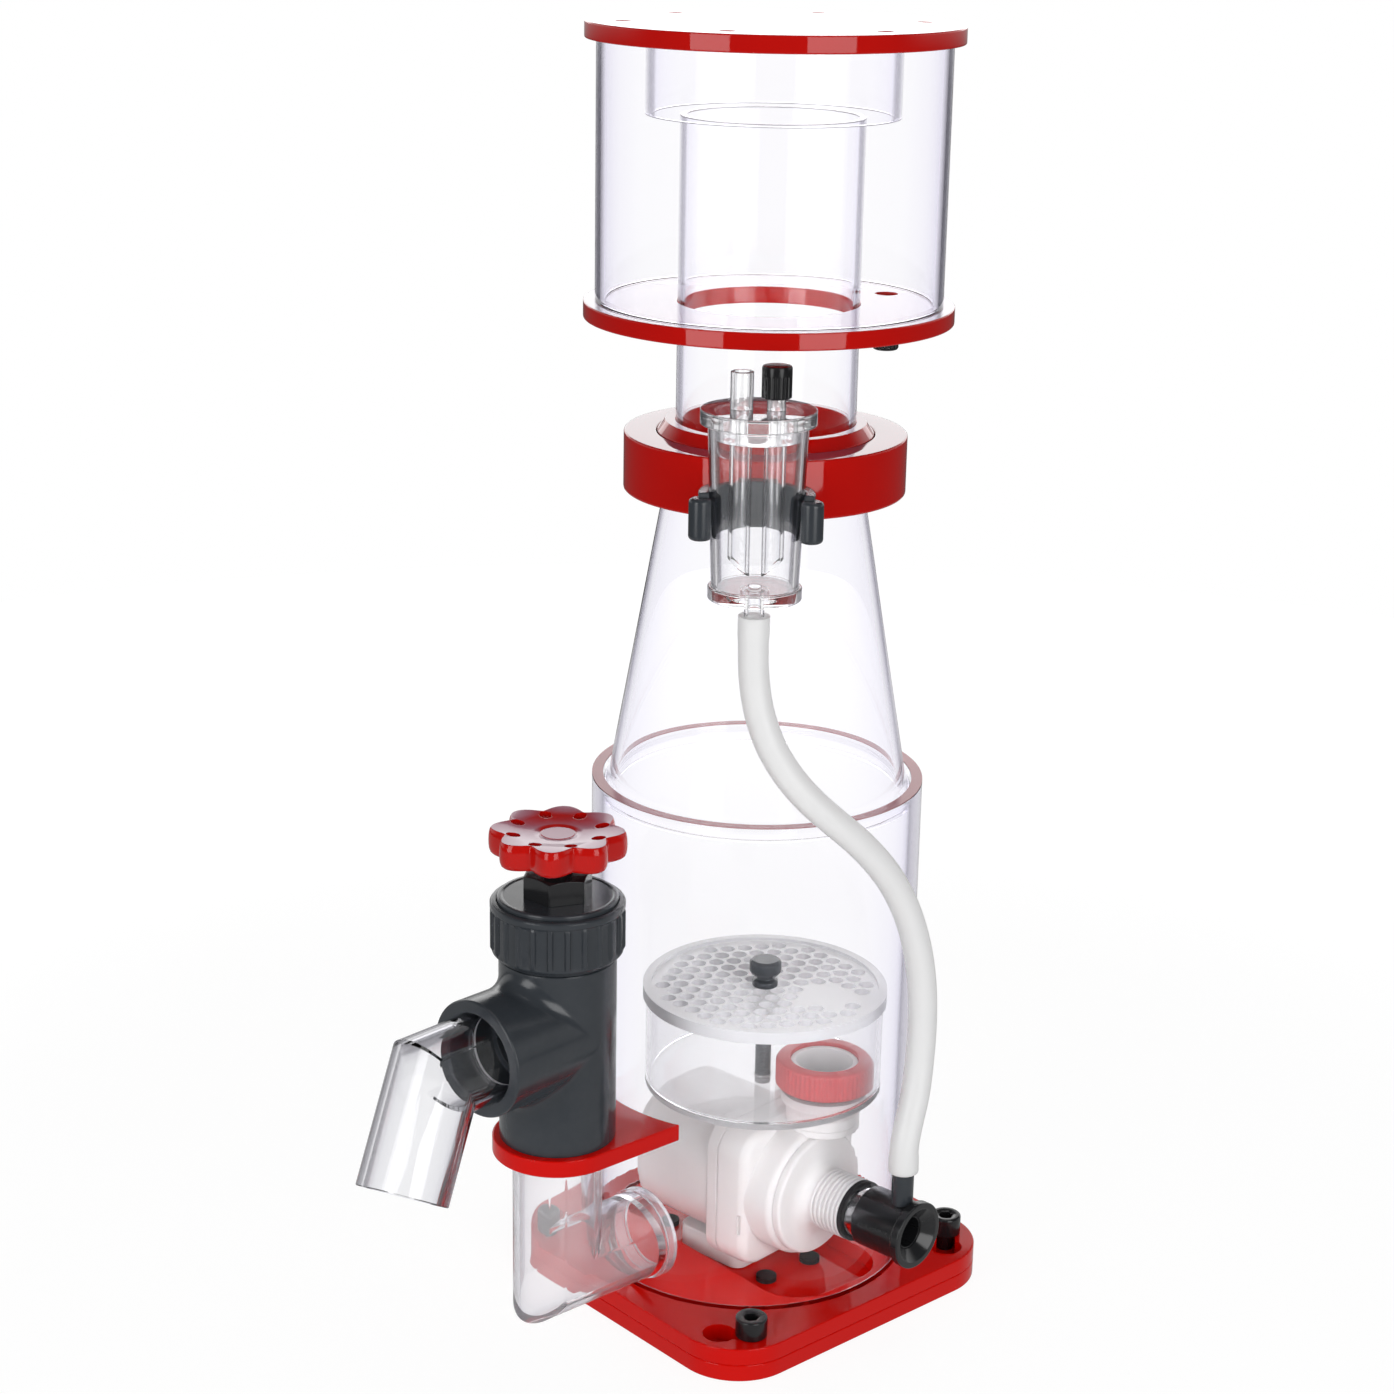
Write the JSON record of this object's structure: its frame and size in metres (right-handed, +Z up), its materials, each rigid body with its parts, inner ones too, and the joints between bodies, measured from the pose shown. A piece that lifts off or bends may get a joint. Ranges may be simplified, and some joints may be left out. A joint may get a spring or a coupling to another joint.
{
  "type": "protein skimmer",
  "caption": "Clear in-sump protein skimmer: reaction body with cone and lift-off collection cup on a twist-lock base, inner needle-wheel pump, throttle-valve outlet and air silencer with hose.",
  "frame": {"origin": "centre of the base's underside, on the axis of the body tube", "axes": "+Z up along the body axis, -Y towards the outlet valve, +X to the venturi's side"},
  "size_m": [0.1906, 0.3158, 0.581],
  "materials": {
    "red_acrylic": "polished cast acrylic",
    "clear_acrylic": "clear polished acrylic",
    "dark_pvc": "satin moulded",
    "black_nylon": "satin moulded",
    "black_rubber": "matt",
    "white_plastic": "moulded",
    "white_silicone": "satin translucent",
    "stator_iron": "potted",
    "magnet": "moulded ferrite",
    "steel": "ground"
  },
  "bodies": {
    "base": {"foot_plate": "red_acrylic", "lock_screws": "black_nylon", "rubber_pads": "black_rubber"},
    "skimmer": {"body_plate": "red_acrylic", "base_seal": "black_rubber", "body_tube": "clear_acrylic", "cone": "clear_acrylic", "collar": "red_acrylic", "silencer_clip": "dark_pvc", "silencer_body": "clear_acrylic", "air_hose": "white_silicone", "outlet_pipe": "clear_acrylic", "outlet_ring": "clear_acrylic", "riser_pipe": "clear_acrylic", "bracket": "red_acrylic", "tee_body": "dark_pvc", "bonnet": "dark_pvc", "bonnet_o_ring": "black_rubber", "gland_nut": "dark_pvc", "pump_foot": "white_plastic", "motor_housing": "white_plastic", "cable_gland": "black_nylon", "rotor_can": "white_plastic", "stator": "stator_iron", "rotor_bearings": "white_plastic", "pump_volute": "white_plastic", "outlet_tower": "white_plastic", "volute_seal": "black_rubber", "inlet_cover": "white_plastic", "union_seal": "black_rubber", "port_seal": "black_rubber", "venturi": "dark_pvc", "diffuser_drum": "clear_acrylic", "bubble_plate": "clear_acrylic"},
    "neck_seal": {"neck_o_ring": "black_rubber"},
    "cup": {"neck_ring": "red_acrylic", "neck_tube": "clear_acrylic", "cup_floor": "red_acrylic", "cup_tube": "clear_acrylic", "drain_fitting": "black_nylon"},
    "drain_plug": {"drain_cap": "black_rubber"},
    "cup_lid": {"lid_plate": "red_acrylic", "lid_skirt": "clear_acrylic"},
    "silencer_top": {"silencer_lid": "clear_acrylic", "silencer_tubes": "clear_acrylic"},
    "silencer_cap": {"air_cap": "black_rubber"},
    "wheel": {"handwheel": "red_acrylic", "valve_stem": "dark_pvc"},
    "plunger": {"valve_plunger": "dark_pvc", "plunger_seal": "black_rubber"},
    "bonnet_union": {"union_nut": "dark_pvc"},
    "elbow": {"elbow_leg": "clear_acrylic", "elbow_spout": "clear_acrylic"},
    "drum_union": {"outlet_nut": "red_acrylic"},
    "knob": {"plate_knob": "dark_pvc", "plate_rod": "dark_pvc"},
    "rotor": {"rotor_magnet": "magnet", "rotor_shaft": "steel", "impeller": "white_plastic"}
  },
  "joints": [
    {"name": "base_twist", "type": "hinge", "parent": "base", "child": "skimmer", "pos_m": [0, 0, 0.016], "axis": [0, 0, 1], "range_deg": [0, 8.5]},
    {"name": "cup_lift", "type": "slide", "parent": "skimmer", "child": "neck_seal", "axis": [0, 0, 1], "range_m": [0, 0.03]},
    {"name": "cup_turn", "type": "hinge", "parent": "neck_seal", "child": "cup", "pos_m": [0, 0, 0.3986], "axis": [0, 0, 1], "continuous": true},
    {"name": "drain_cap_turn", "type": "hinge", "parent": "cup", "child": "drain_plug", "pos_m": [0.0161, 0.05614, 0.447], "axis": [0, 0, 1], "range_deg": [0, 720]},
    {"name": "lid_lift", "type": "slide", "parent": "cup", "child": "cup_lid", "axis": [0, 0, 1], "range_m": [0, 0.05]},
    {"name": "silencer_lid_lift", "type": "slide", "parent": "skimmer", "child": "silencer_top", "axis": [0, 0, 1], "range_m": [0, 0.015]},
    {"name": "air_cap_turn", "type": "hinge", "parent": "silencer_top", "child": "silencer_cap", "pos_m": [0.06738, -0.05704, 0.446], "axis": [0, 0, 1], "range_deg": [0, 720]},
    {"name": "valve_turn", "type": "hinge", "parent": "skimmer", "child": "wheel", "pos_m": [0, -0.1155, 0.242], "axis": [0, 0, -1], "range_deg": [0, 3600]},
    {"name": "plunger_slide", "type": "slide", "parent": "skimmer", "child": "plunger", "axis": [0, 0, -1], "range_m": [0, 0.04]},
    {"name": "bonnet_union_turn", "type": "hinge", "parent": "skimmer", "child": "bonnet_union", "pos_m": [0, -0.1155, 0.203], "axis": [0, 0, 1], "range_deg": [0, 360]},
    {"name": "outlet_swivel", "type": "hinge", "parent": "skimmer", "child": "elbow", "pos_m": [0, -0.1155, 0.1565], "axis": [0.1045, -0.9945, 0], "continuous": true},
    {"name": "drum_union_turn", "type": "hinge", "parent": "skimmer", "child": "drum_union", "pos_m": [0.03465, 0.0147, 0.109], "axis": [0, 0, 1], "range_deg": [0, 360]},
    {"name": "knob_turn", "type": "hinge", "parent": "skimmer", "child": "knob", "pos_m": [0.0085, 0.0005, 0.15], "axis": [0, 0, 1], "range_deg": [0, 720]},
    {"name": "rotor_spin", "type": "hinge", "parent": "skimmer", "child": "rotor", "pos_m": [0, 0, 0.0525], "axis": [0.9945, 0.1045, 0], "continuous": true}
  ],
  "couplings": [
    {"joint": "plunger_slide", "follows": "valve_turn", "m_per_rad": 0.00063662}
  ]
}
